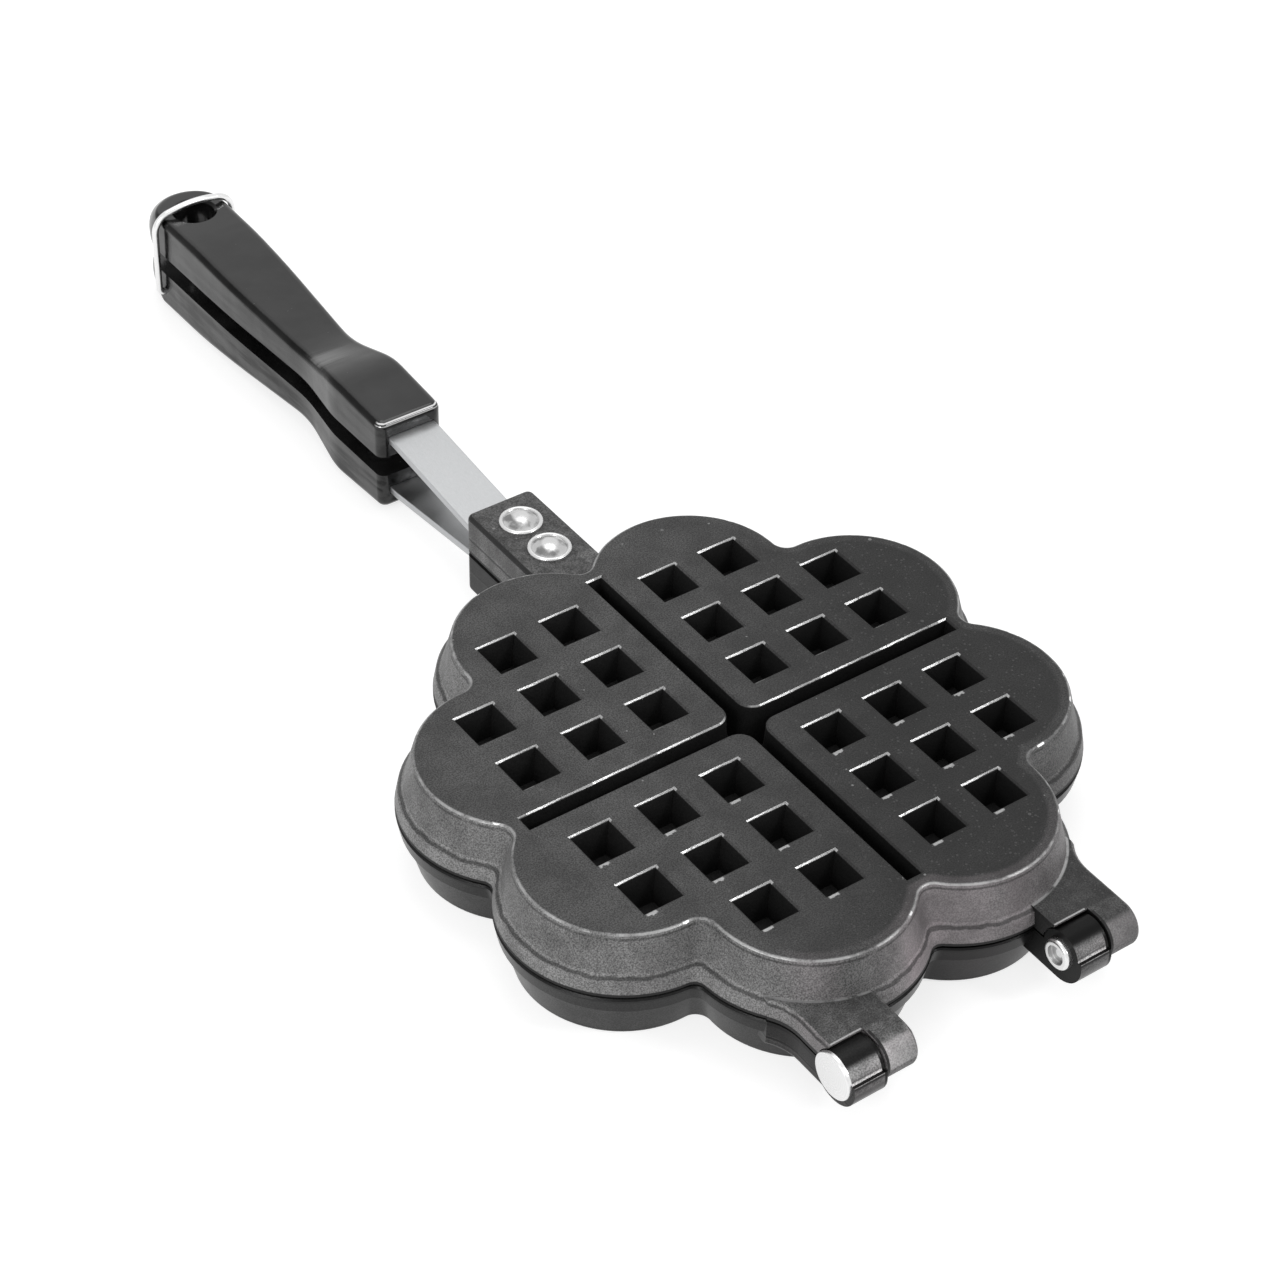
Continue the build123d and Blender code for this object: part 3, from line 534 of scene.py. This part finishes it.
# %% Casting: painted side shade and a warm patch
def toward_shaded_side(tree, place, turned_over):
    """How far a point is towards the side that gets the painted shade, the same side for both castings."""
    return vector(tree, "DOT_PRODUCT", place, (-0.85 + 1.7 * turned_over, 0.5, 0.0))


def paint_side_shade(tree, zone, place, shaded_side, darkest_shade):
    """A factor of painted shade that darkens towards one side, and a mask of the warmer, lighter patch."""
    x, y, _ = parts(tree, place)
    on_wall = product(tree, zone["Outside"], invert(tree, zone["Flat"]))
    side_shade = between(tree, fade(tree, shaded_side, -35.0, 45.0), 1.04, darkest_shade)
    half_side_shade = calc(tree, "MULTIPLY_ADD", calc(tree, "SUBTRACT", side_shade, 1.0), 0.5, 1.0)
    notch = fade(tree, calc(tree, "ABSOLUTE", x), 30.0, 8.0)
    blotch = fade(tree, noise(tree, place, 0.035, 2.0, 0.5), 0.48, 0.62)
    faded = product(tree, calc(tree, "MULTIPLY_ADD", blotch, 0.6, notch), on_wall, fade(tree, y, 40.0, 70.0))
    return between(tree, on_wall, side_shade, half_side_shade), faded


print("steps: toward_shaded_side, bake")

# %% [markdown]
# The grain lies over all of it: fine speckle, which is weaker on the lighter eyes and in the warm notch, a
# slow cloud, mottled tops on the lug and leaves, and rough lines down the lug's sides from the parting of
# the mould.

# %% Casting: speckle, cloud and mould lines
def speckle_over(tree, zone, place, grain, faded, strength):
    """A factor for the fine grain, with mottled flat tops."""
    flat_top = calc(tree, "MAXIMUM", zone["Face"], zone["Flat"])
    contrast = between(tree, flat_top, strength, strength * 1.1)
    contrast = between(tree, zone["Ear"], contrast, strength * 0.5)
    contrast = between(tree, fade(tree, faded, 0.2, 1.2), contrast, strength * 0.45)
    mottle = between(tree, fade(tree, noise(tree, place, 0.4, 4.0, 0.65), 0.32, 0.68), 0.68, 1.3)
    speckle = around_one(tree, grain["Speckle"], contrast)
    return product(tree, speckle, between(tree, zone["Flat"], 1.0, mottle))


def mould_lines(tree, zone, place):
    """A factor for the lines down the lug's sides."""
    lines = noise(tree, stretch(tree, place, (0.2, 0.22, 0.06)), 1.0, 2.0, 0.5)
    lug_side = product(tree, zone["Lug"], invert(tree, zone["Flat"]))
    return between(tree, lug_side, 1.0, between(tree, fade(tree, lines, 0.3, 0.7), 0.72, 1.15))


print("steps: speckle_over, mould_lines")

# %% [markdown]
# Where the coating is gone, bare aluminium shows: on the bevels facing the light, where it is partly a
# painted highlight, and on the burrs, in nicks along the rim, at the foot of the wall over the hinge, and in
# specks that are denser near the edge and on the worn side. The strongest of these masks wins at each
# point.

# %% Casting: bare metal
def bare_metal(tree, zone, place, facing, shaded_side, breaks):
    """How bare the metal is, and a mask of the rim's nicks."""
    bevel_marks = use(tree, bevel_marks_group, Place=place, Facing=facing)
    near_edge = fade(tree, use(tree, outline_group, Place=place)["Lobe Distance"], 16.0, 25.0)
    nicks = use(tree, speck_group, Place=place, Spacing=4.0, Size=1.5, Share=0.6)["Mask"]
    few = use(tree, speck_group, Place=place, Spacing=2.4, Size=0.5, Share=0.12)["Mask"]
    many = use(tree, speck_group, Place=place, Spacing=0.9, Size=0.34, Share=0.45)["Mask"]
    wear_and_painted_highlight = calc(tree, "MULTIPLY_ADD", fade(tree, breaks, 0.4, 0.58), 0.62, 0.1)
    worn_side = fade(tree, shaded_side, -20.0, 45.0)
    specks = calc(tree, "MAXIMUM", product(tree, few, between(tree, near_edge, 0.06, 0.42)),
                  product(tree, many, between(tree, worn_side, 0.02, 0.08)))
    foot = calc(tree, "MAXIMUM", zone["Bright Foot"], zone["Lip"])
    bare = product(tree, zone["Bevel"], bevel_marks["Worn And Highlighted Bevel"])
    for mask in (
        product(tree, zone["Rim Line"], calc(tree, "MAXIMUM", nicks, wear_and_painted_highlight)),
        product(tree, foot, fade(tree, breaks, 0.3, 0.5), 0.75),
        product(tree, bevel_marks["Burr"], calc(tree, "MAXIMUM", zone["Face"], zone["Bevel"]), 0.75),
        product(tree, specks, calc(tree, "MAXIMUM", zone["Face"], zone["Flat"])),
    ):
        bare = calc(tree, "MAXIMUM", bare, mask)
    return bare, product(tree, nicks, zone["Rim Line"])


print("step: bare_metal")

# %% [markdown]
# Now one function puts the steps together: grey and roughness, a slight warmth where the coating is
# faded, bare metal over them, and a weak bump from the grain.

# %% Casting: the whole skin
def casting(name, turned_over, tones, rough, gloss, grain_depth, wear):
    """Skin of one casting. Tones and rough give each zone's grey and roughness."""
    made, tree, shader = new_material(name)
    spot = use(tree, place_group, Turned_Over=turned_over)
    place, facing = spot["Place"], spot["Facing"]
    zone = use(tree, zones_group, Place=place, Facing=facing)
    grain = use(tree, grain_group, Place=place, Grain_Size=0.38, Cloud_Size=9.0)
    breaks = noise(tree, place, 0.16, 4.0, 0.6)
    shaded_side = toward_shaded_side(tree, place, turned_over)

    value, roughness = paint_areas(tree, zone, tones, rough)
    value = draw_lines(tree, zone, parts(tree, place)[0], breaks, value, tones)
    # painted side shade, darker towards -X and the hinge, and the warm patch
    side_shade, faded = paint_side_shade(tree, zone, place, shaded_side, tones["hinge"])
    value = product(tree, value, mould_lines(tree, zone, place),
                    speckle_over(tree, zone, place, grain, faded, tones["grain"]),
                    around_one(tree, grain["Cloud"], 0.45), side_shade,
                    calc(tree, "MULTIPLY_ADD", faded, tones["heat"], 1.0))
    tint = put(tree, "CombineColor",
               calc(tree, "MULTIPLY", value, calc(tree, "MULTIPLY_ADD", faded, 0.08, 1.005)), value,
               calc(tree, "MULTIPLY", value, calc(tree, "MULTIPLY_ADD", faded, 0.03, 0.997))).outputs[0]

    bare, nicked = bare_metal(tree, zone, place, facing, shaded_side, breaks)
    bare = calc(tree, "MULTIPLY", bare, wear)
    aluminium = between(tree, nicked, grey(0.43), grey(0.85))
    fill(tree, shader["Base Color"], between(tree, bare, tint, aluminium))
    fill(tree, shader["Metallic"], bare)
    fill(tree, shader["Roughness"], between(tree, bare, roughness, 0.35))
    fill(tree, shader["Specular IOR Level"], gloss)
    bump = put(tree, "Bump", grain_depth, 0.25 * MM)
    fill(tree, bump.inputs["Height"], grain["Height"])
    fill(tree, shader["Normal"], bump.outputs[0])
    return made


print("step: casting")

# %% [markdown]
# The values tell the two castings apart. All greys are low, since the coating is nearly black, and what
# makes one zone look lighter than the next is often its roughness. The upper one is matt, worn and
# grainy, and the lower one is smooth and hardly worn, so its edges show as reflections. The light bands on
# the lower one's round eyes are painted highlight and painted floor reflection.

# %% The two castings
upper_skin = casting(
    "tumbled casting", turned_over=0.0, gloss=0.3, grain_depth=0.35, wear=1.0,
    tones={
        # the fourth value on the next line is a line of painted shade at the ledge's foot
        "inside": 0.006, "Cooking": 0.02, "Outside": 0.165, "Ledge": 0.06, "Flange": 0.21, "Flat": 0.095,
        # the last three values on the next line are bands of painted shade on the round eyes
        "Face": 0.055, "Bevel": 0.05, "Knuckle": 0.12, "Boss": 0.165, "Boss Line": 0.12,
        # hinge is how dark the painted side shade gets
        "grain": 1.1, "hinge": 0.25, "ear": 1.35, "heat": 0.6,
    },
    rough={"inside": 0.6, "Cooking": 0.32, "Outside": 0.5, "Flat": 0.55, "Face": 0.6},
)
lower_skin = casting(
    "fresh black casting", turned_over=1.0, gloss=0.14, grain_depth=0.12, wear=0.1,
    tones={
        # the fourth value on the next line is a line of painted shade at the ledge's foot
        "inside": 0.006, "Cooking": 0.02, "Outside": 0.042, "Ledge": 0.008, "Flange": 0.022, "Flat": 0.012,
        # the last three values on the next line are painted highlight, painted floor reflection and a line
        # of painted highlight on the round eyes
        "Face": 0.02, "Bevel": 0.03, "Knuckle": 0.42, "Boss": 0.2, "Boss Line": 1.6,
        # hinge is how dark the painted side shade gets
        "grain": 0.9, "hinge": 0.05, "ear": 0.6, "heat": 0.0,
    },
    rough={"inside": 0.5, "Cooking": 0.32, "Outside": 0.28, "Flat": 0.25, "Face": 0.4},
)
print("castings:", upper_skin.name, "and", lower_skin.name)

# %% [markdown]
# ## Steel, aluminium and wire
# All the bare metal parts are one recipe: a metal whose grey and roughness vary with the place, a little
# bluish for steel if asked. Each part then needs only a function for its grey. Painting the reflections
# on would be simpler, but they would slide as soon as the light moved.

# %% Metal recipe
def metal(name, roughness, value_of, cool=1.0):
    """A metal whose grey comes from value_of(tree, place, grain)."""
    made, tree, shader = new_material(name, metallic=1.0)
    place = use(tree, place_group)["Place"]
    grain = use(tree, grain_group, Place=place, Grain_Size=0.3, Cloud_Size=6.0)
    value = value_of(tree, place, grain)
    colour = put(tree, "CombineColor", value, calc(tree, "MULTIPLY", value, (1 + cool) / 2),
                 calc(tree, "MULTIPLY", value, cool))
    fill(tree, shader["Base Color"], colour.outputs[0])
    fill(tree, shader["Roughness"], calc(tree, "MULTIPLY_ADD", grain["Cloud"], 0.10, roughness - 0.05))
    return made


print("step: metal")

# %% [markdown]
# The straps are rolled steel with the fine drawn lines of the mill along them, so a noise is drawn out
# along Y. The ring is plated wire, bright and even.

# %% Straps and ring
def drawn(tree, place, grain):
    """Fine lines along the strap."""
    lines = noise(tree, stretch(tree, place, (6.0, 0.12, 6.0)), 1.0, 3.0, 0.6)
    lines = calc(tree, "MULTIPLY_ADD", calc(tree, "SUBTRACT", lines, 0.5), 0.10, 0.43)
    return calc(tree, "MULTIPLY_ADD", grain["Speckle"], 0.03, lines)


def plated(tree, place, grain):
    """Even plating."""
    return calc(tree, "MULTIPLY_ADD", grain["Speckle"], 0.05, 0.78)


strap_steel = metal("satin steel", 0.38, drawn, cool=1.03)
ring_wire = metal("plated wire", 0.22, plated)
print("metals:", strap_steel.name, "and", ring_wire.name)

# %% [markdown]
# The rivets were clinched: the die left a bright brim and a bright dome, and the valley between them gets
# patchy painted shade. The hinge pins show turning marks round their axis, and the smaller head has painted
# shade in its dish. Both patterns are rings, so both come from the distance to an axis.

# %% Rivets and hinge pins
RIVETS_Y, RIVET_STEP = -92.55, 6.75         # middle between the two rivets, and from there to each
VALLEY, DISH = (2.2, 4.7), (1.1, 2.5)       # inner and outer radius on a rivet and on a small pin head


def clinched(tree, place, grain):
    """Bright brim and dome with patchy painted shade in the valley."""
    x, y, _ = parts(tree, place)
    from_row = calc(tree, "ABSOLUTE", calc(tree, "SUBTRACT", y, RIVETS_Y))
    off_axis = point(tree, x, calc(tree, "SUBTRACT", from_row, RIVET_STEP), 0.0)
    valley = band(tree, vector(tree, "LENGTH", off_axis), *VALLEY, 0.6)
    shade_patches = fade(tree, noise(tree, place, 0.3, 2.0, 0.5), 0.42, 0.6)
    # painted shade in the valley, in patches
    valley_shade = product(tree, valley, calc(tree, "MULTIPLY_ADD", shade_patches, 0.62, 0.28))
    return calc(tree, "MULTIPLY_ADD", valley_shade, -0.50, 0.66)


def turned(tree, place, grain):
    """Turning marks round the hinge axis, and painted shade in the dish, with its middle left bright."""
    x, y, z = parts(tree, place)
    distance = vector(tree, "LENGTH", point(tree, 0.0, calc(tree, "SUBTRACT", y, PIN_Y), z))
    marks = calc(tree, "SINE", calc(tree, "MULTIPLY", distance, 9.0))
    # painted shade in the dish
    dish_shade = product(tree, band(tree, distance, *DISH, 0.25), fade(tree, x, 0.0, -1.0))
    return calc(tree, "MULTIPLY_ADD", dish_shade, -0.38, calc(tree, "MULTIPLY_ADD", marks, 0.02, 0.76))


rivet_aluminium = metal("clinched aluminium", 0.26, clinched)
pin_steel = metal("turned steel", 0.30, turned)
print("metals:", rivet_aluminium.name, "and", pin_steel.name)

# %% [markdown]
# ## The grips
# Hob irons have grips of black phenolic, moulded hot in a polished die. It is very glossy, but the
# surface has slow waves where the resin shrank, and a few dust specks. So the roughness is low, with a
# cloud in it, and a weak bump has waves about as wide as a finger. The slope behind the thumb block gets
# a streaky painted highlight on one side.

# %% Grip: body, dust and painted slope highlight
SLOPE_FOOT_Y = -192.0                # foot of the thumb block's rear slope
FRONT_Y = -154.0                # front of the thumb block
grip_black, tree, shader = new_material("glossy phenolic grip")
spot = use(tree, place_group)
place = spot["Place"]
x, y, z = parts(tree, place)
levelness = calc(tree, "ABSOLUTE", parts(tree, spot["Facing"])[2])       # 1 on flat tops, 0 on sides
grain = use(tree, grain_group, Place=place, Grain_Size=0.9, Cloud_Size=14.0)
dust = use(tree, speck_group, Place=place, Spacing=1.6, Size=0.2, Share=0.12)["Mask"]
streaks = noise(tree, stretch(tree, place, (0.08, 1.0, 0.08)), 0.45, 2.0, 0.5)
body = between(tree, grain["Cloud"], grey(0.008), grey(0.016))
# a streaky painted highlight at the foot of the thumb block's rear slope
painted_slope_highlight = product(tree, band(tree, y, SLOPE_FOOT_Y - 4.0, SLOPE_FOOT_Y + 4.0, 2.5),
                  fade(tree, calc(tree, "ABSOLUTE", z), 7.0, 9.0), fade(tree, levelness, 0.6, 0.8),
                  fade(tree, streaks, 0.3, 0.6), fade(tree, x, -9.0, 6.0))
body = between(tree, painted_slope_highlight, body, grey(0.14))
print("grip body, dust and scuff")

# %% [markdown]
# The grip's edges get painted shade as dark lines. A metal with a black colour reflects almost nothing,
# so a mask into Metallic draws those dark edges, and the flow lines that the resin left on the sides as it
# ran into the mould. The front edge gets two lines of painted highlight instead.

# %% Grip: painted edge shade, flow lines and painted front highlights
at_front = fade(tree, y, FRONT_Y - 3.2, FRONT_Y - 1.8)
# painted shade along the edges, except at the front
painted_edge_shade = product(tree, band(tree, levelness, 0.22, 0.9, 0.06), invert(tree, at_front), 0.92)
flow = noise(tree, stretch(tree, place, (0.35, 0.03, 0.35)), 1.0, 3.0, 0.6)
flow_lines = product(tree, fade(tree, levelness, 0.3, 0.15), fade(tree, flow, 0.38, 0.6),
                     between(tree, fade(tree, z, -3.0, -6.0), 0.4, 0.85))
# two lines of painted highlight along the front edge
upper_highlight = band(tree, levelness, 0.72, 0.84, 0.03)
lower_highlight = product(tree, band(tree, levelness, 0.44, 0.54, 0.03), 0.6)
wear_and_painted_highlight = product(tree, calc(tree, "MAXIMUM", upper_highlight, lower_highlight), at_front,
                 fade(tree, streaks, 0.2, 0.4))
body = between(tree, wear_and_painted_highlight, body, grey(0.8))
body = between(tree, product(tree, dust, 0.3), body, grey(0.2))
mirror = calc(tree, "MAXIMUM", calc(tree, "MAXIMUM", painted_edge_shade, flow_lines), wear_and_painted_highlight)
print("grip edges, flow lines and rubbed front")

# %% [markdown]
# The masks and clouds now go into the shader. The bump gets the slow waves and a trace of the grain,
# because a polished die leaves hardly any.

# %% Grip: the shader
fill(tree, shader["Base Color"], body)
fill(tree, shader["Metallic"], mirror)
fill(tree, shader["Roughness"], calc(tree, "MULTIPLY_ADD", grain["Cloud"], 0.08, 0.09))
waves = noise(tree, place, 0.09, 2.0, 0.4)
bump = put(tree, "Bump", 0.12, 2 * MM)
fill(tree, bump.inputs["Height"], calc(tree, "MULTIPLY_ADD", grain["Height"], 0.01, waves))
fill(tree, shader["Normal"], bump.outputs[0])
print("grip:", grip_black.name)

# %% [markdown]
# ## Every piece gets its finish
# The solids came with material slots. A finish goes into those slots, and the solids themselves stay as
# they are. The pieces are named one by one, and only the four rivets are left for the clinched aluminium.

# %% Finishes by piece
finishes = {
    "upper_plate": upper_skin, "lower_plate": lower_skin,
    "upper_strap": strap_steel, "lower_strap": strap_steel,
    "upper_grip": grip_black, "lower_grip": grip_black,
    "lock_ring": ring_wire,
    "upper_grip_screw": strap_steel, "lower_grip_screw": strap_steel,
    "hinge_pin_left": pin_steel, "hinge_pin_right": pin_steel,
}
for name, thing in nodes.items():
    finish = finishes.get(name, rivet_aluminium)
    slots = thing.data.materials
    if not slots:
        slots.append(finish)
    for index in range(len(slots)):
        slots[index] = finish
    print(name, "->", finish.name)

# %% [markdown]
# ## The floor
# The iron lies on a sheet of white paper. Real paper would need strong light to look pure white, and that
# light would bleach the iron as well. So the paper is matt and lit plainly, which keeps the iron's
# shadow, and only to the eye and in reflections it also glows a little.

# %% Paper floor
FLOOR_HALF = 3.0                # half the sheet's side, in metres


def seen_by_eye(tree):
    """A mask of the rays that the eye sees directly, in a reflection or through glass."""
    rays = put(tree, "LightPath").outputs
    seen = calc(tree, "MAXIMUM", rays["Is Camera Ray"], rays["Is Glossy Ray"])
    return calc(tree, "MAXIMUM", seen, rays["Is Transmission Ray"])


floor_mesh = bpy.data.meshes.new("floor")
corners = [(sx * FLOOR_HALF, sy * FLOOR_HALF, 0) for sx, sy in ((-1, -1), (1, -1), (1, 1), (-1, 1))]
floor_mesh.from_pydata(corners, [], [(0, 1, 2, 3)])
floor = bpy.data.objects.new("floor", floor_mesh)
bpy.context.scene.collection.objects.link(floor)
floor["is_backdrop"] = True

paper = bpy.data.materials.new("white paper sweep")
paper.use_nodes = True
tree = paper.node_tree
tree.nodes.clear()
matt = put(tree, "BsdfDiffuse", grey(0.55)).outputs[0]
glow = put(tree, "Emission", grey(1.0), calc(tree, "MULTIPLY", seen_by_eye(tree), 0.7)).outputs[0]
put(tree, "OutputMaterial", put(tree, "AddShader", matt, glow).outputs[0])
floor_mesh.materials.append(paper)
print("floor", 2 * FLOOR_HALF, "m wide, of", paper.name)

# %% [markdown]
# ## The surroundings
# A studio's white walls do most of the lighting of glossy and metal things, because those show what is
# round them. The world stands for the walls: pure white to the eye and in reflections, and half as strong
# where it lights matt surfaces.

# %% White surroundings
world = bpy.data.worlds.new("studio")
bpy.context.scene.world = world
world.use_nodes = True
tree = world.node_tree
tree.nodes.clear()
sky = put(tree, "Background", grey(1.0), between(tree, seen_by_eye(tree), 0.5, 1.0))
put(tree, "OutputWorld", sky.outputs[0])
print("world:", world.name)

# %% [markdown]
# ## The lamps
# White walls alone make things look flat. A large soft key lamp beside the hinge models the walls of the
# castings, a smaller one across from it draws bright edges, and a wide one above lifts the tops. Each is
# placed by its direction from the plates, so all of them stay the same distance away.

# %% Softboxes
LAMP_DISTANCE = 1.8


def softbox(name, direction, size, power):
    """A round area lamp that faces the middle of the plates."""
    lamp = bpy.data.lights.new(name, "AREA")
    lamp.shape = "DISK"
    lamp.size = size
    lamp.energy = power
    holder = bpy.data.objects.new(name, lamp)
    aim = Vector(direction).normalized()
    holder.location = middle + aim * LAMP_DISTANCE
    holder.rotation_mode = "QUATERNION"
    holder.rotation_quaternion = aim.to_track_quat("Z", "Y")
    bpy.context.scene.collection.objects.link(holder)
    print(name, "at", [round(v, 2) for v in holder.location])


softbox("key softbox", (0.80, 0.35, 0.55), size=0.7, power=10.0)
softbox("edge softbox", (-0.45, 0.66, 0.60), size=0.36, power=6.0)
softbox("top softbox", (-0.2, -0.3, 1.0), size=1.2, power=6.0)

# %% [markdown]
# ## The camera
# The camera looks down at about forty degrees from behind the hinge, with a long lens from three quarters
# of a metre away, so the far end of the handle is hardly smaller than the near plates. Its three axes are
# worked out from the two angles and a slight roll, and make up its matrix directly. Aiming it at a point
# would leave the roll to chance. The colours are shown as they are written, so the view transform is
# Standard.

# %% Camera
azimuth, elevation, roll = (math.radians(v) for v in (143.633, 40.493, 1.543))
back = Vector((math.sin(azimuth) * math.cos(elevation), -math.cos(azimuth) * math.cos(elevation),
               math.sin(elevation)))
right = Vector((0, 0, 1)).cross(back).normalized()
up = back.cross(right)
rolled_right = math.cos(roll) * right + math.sin(roll) * up
rolled_up = math.cos(roll) * up - math.sin(roll) * right
stand = Matrix.Translation((0.35878, 0.44254 + PLATE_Y, 0.54326))

lens = bpy.data.cameras.new("camera")
lens.sensor_width = 36.0
lens.lens = 87.80
camera = bpy.data.objects.new("camera", lens)
camera.matrix_world = stand @ Matrix((rolled_right, rolled_up, back)).transposed().to_4x4()
bpy.context.scene.collection.objects.link(camera)
bpy.context.scene.camera = camera
bpy.context.scene.view_settings.view_transform = "Standard"
print("camera at", [round(v, 3) for v in camera.matrix_world.translation], "with a lens of", lens.lens, "mm")

# %% [markdown]
# ## Sizes and the end
# The finishes must not change the iron's size. So the box round everything is measured again and printed
# beside the one from the start.

# %% Sizes
dressed_low, dressed_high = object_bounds()
for label, box in (("CAD box", (cad_low, cad_high)), ("dressed", (dressed_low, dressed_high))):
    print(label, [round(v / MM, 2) for corner in box for v in corner])
